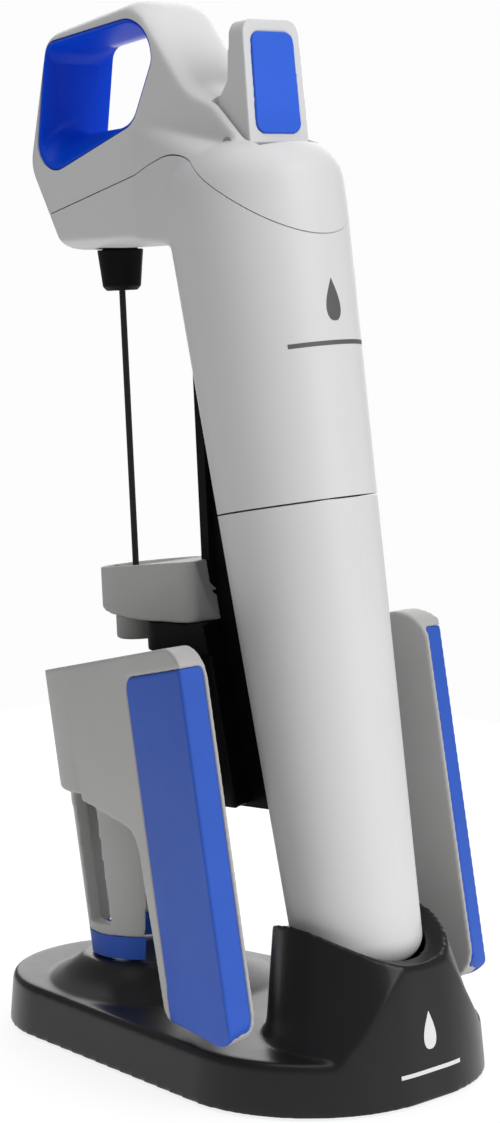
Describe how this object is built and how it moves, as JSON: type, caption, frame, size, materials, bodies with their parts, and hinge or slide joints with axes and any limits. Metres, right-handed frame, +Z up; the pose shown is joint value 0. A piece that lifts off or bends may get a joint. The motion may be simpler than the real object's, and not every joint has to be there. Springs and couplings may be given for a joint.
{
  "type": "needle wine dispenser on display stand",
  "caption": "Handheld needle wine dispenser with finger loop, trigger, gas capsule body and spring bottle clamps, standing in its display base.",
  "frame": {"origin": "on the surface that the stand rests on, under the line of the needle", "axes": "+Z up from the surface, +X from the needle towards the long body and the trigger, Y across the clamps; the needle leans 2.8 degrees towards -X as it rises"},
  "size_m": [0.1277, 0.0838, 0.2416],
  "materials": {
    "shell_white": "fine satin moulded plastic",
    "clamp_grey": "fine-textured moulded plastic",
    "grip_blue": "soft-touch overmould with a fine grain",
    "loop_blue": "satin gloss lining",
    "black_plastic": "satin black",
    "stand_black": "satin black",
    "steel": "ground steel",
    "coated_steel": "dark non-stick coating on steel",
    "alloy": "machined",
    "black_rubber": "matte"
  },
  "bodies": {
    "stand": {"stand_base": "stand_black", "stand_plate": "stand_black", "stand_feet": "black_rubber", "stand_screws": "steel"},
    "device": {"body_shell": "shell_white", "head_cover": "shell_white", "loop_grip": "loop_blue", "regulator_body": "alloy", "regulator_cap": "alloy", "regulator_spring": "steel", "piercing_pin": "steel", "gas_manifold": "black_plastic", "manifold_pipe": "steel", "pour_spout": "steel", "trigger_pin": "steel", "trigger_spring": "steel", "rail": "black_plastic", "rail_end_stop": "clamp_grey", "rail_screw_low": "steel", "rail_screw_high": "steel"},
    "trigger": {"trigger": "shell_white", "trigger_pad": "grip_blue"},
    "plunger": {"valve_plunger": "steel"},
    "piston": {"regulator_piston": "alloy", "regulator_seal": "black_rubber"},
    "capsule": {"gas_capsule": "steel"},
    "cup": {"capsule_cup": "shell_white", "cup_cushion": "black_rubber"},
    "needle": {"needle_hub": "black_plastic", "needle": "coated_steel"},
    "carriage": {"carriage_body": "black_plastic", "carriage_cap": "clamp_grey", "needle_guide": "clamp_grey", "hinge_pin_left": "steel", "hinge_pin_right": "steel", "clamp_spring_left": "steel", "clamp_spring_right": "steel"},
    "clamp_left": {"clamp_left": "clamp_grey", "clamp_grip_left": "grip_blue", "jaw_band_left": "grip_blue"},
    "clamp_right": {"clamp_right": "clamp_grey", "clamp_grip_right": "grip_blue", "jaw_band_right": "grip_blue"}
  },
  "joints": [
    {"name": "device_lift", "type": "slide", "parent": "stand", "child": "device", "axis": [-0.1788, 0, 0.9839], "range_m": [0, 0.06]},
    {"name": "carriage_slide", "type": "slide", "parent": "device", "child": "carriage", "axis": [-0.0488, 0, 0.9988], "range_m": [0, 0.055]},
    {"name": "clamp_left_turn", "type": "hinge", "parent": "carriage", "child": "clamp_left", "pos_m": [0.02133, -0.0155, 0.07613], "axis": [-0.0488, 0, 0.9988], "range_deg": [0, 12], "stiffness_Nm_per_rad": 1.2, "springref_deg": -14.32},
    {"name": "clamp_right_turn", "type": "hinge", "parent": "carriage", "child": "clamp_right", "pos_m": [0.02133, 0.0155, 0.07613], "axis": [0.0488, 0, -0.9988], "range_deg": [0, 12], "stiffness_Nm_per_rad": 1.2, "springref_deg": -14.32},
    {"name": "trigger_press", "type": "hinge", "parent": "device", "child": "trigger", "pos_m": [0.03928, 0, 0.20867], "axis": [0, -1, 0], "range_deg": [0, 6], "stiffness_Nm_per_rad": 2, "springref_deg": -5.73},
    {"name": "plunger_slide", "type": "slide", "parent": "device", "child": "plunger", "axis": [0.1788, 0, -0.9839], "range_m": [0, 0.0006], "deforming": ["trigger_spring"]},
    {"name": "piston_slide", "type": "slide", "parent": "device", "child": "piston", "axis": [-0.1788, 0, 0.9839], "range_m": [0, 0.002], "stiffness_N_per_m": 900, "springref_m": -0.002, "deforming": ["regulator_spring"]},
    {"name": "capsule_slide", "type": "slide", "parent": "device", "child": "capsule", "axis": [0.1788, 0, -0.9839], "range_m": [0, 0.0031]},
    {"name": "cup_turn", "type": "hinge", "parent": "capsule", "child": "cup", "pos_m": [0.06054, 0, 0.06302], "axis": [0.1788, 0, -0.9839], "range_deg": [0, 360]},
    {"name": "needle_turn", "type": "hinge", "parent": "device", "child": "needle", "pos_m": [-0.00879, 0, 0.18029], "axis": [0.0488, 0, -0.9988], "range_deg": [0, 360]}
  ],
  "couplings": [
    {"joint": "plunger_slide", "follows": "trigger_press", "m_per_rad": 0.0046},
    {"joint": "capsule_slide", "follows": "cup_turn", "m_per_rad": 0.000477}
  ]
}
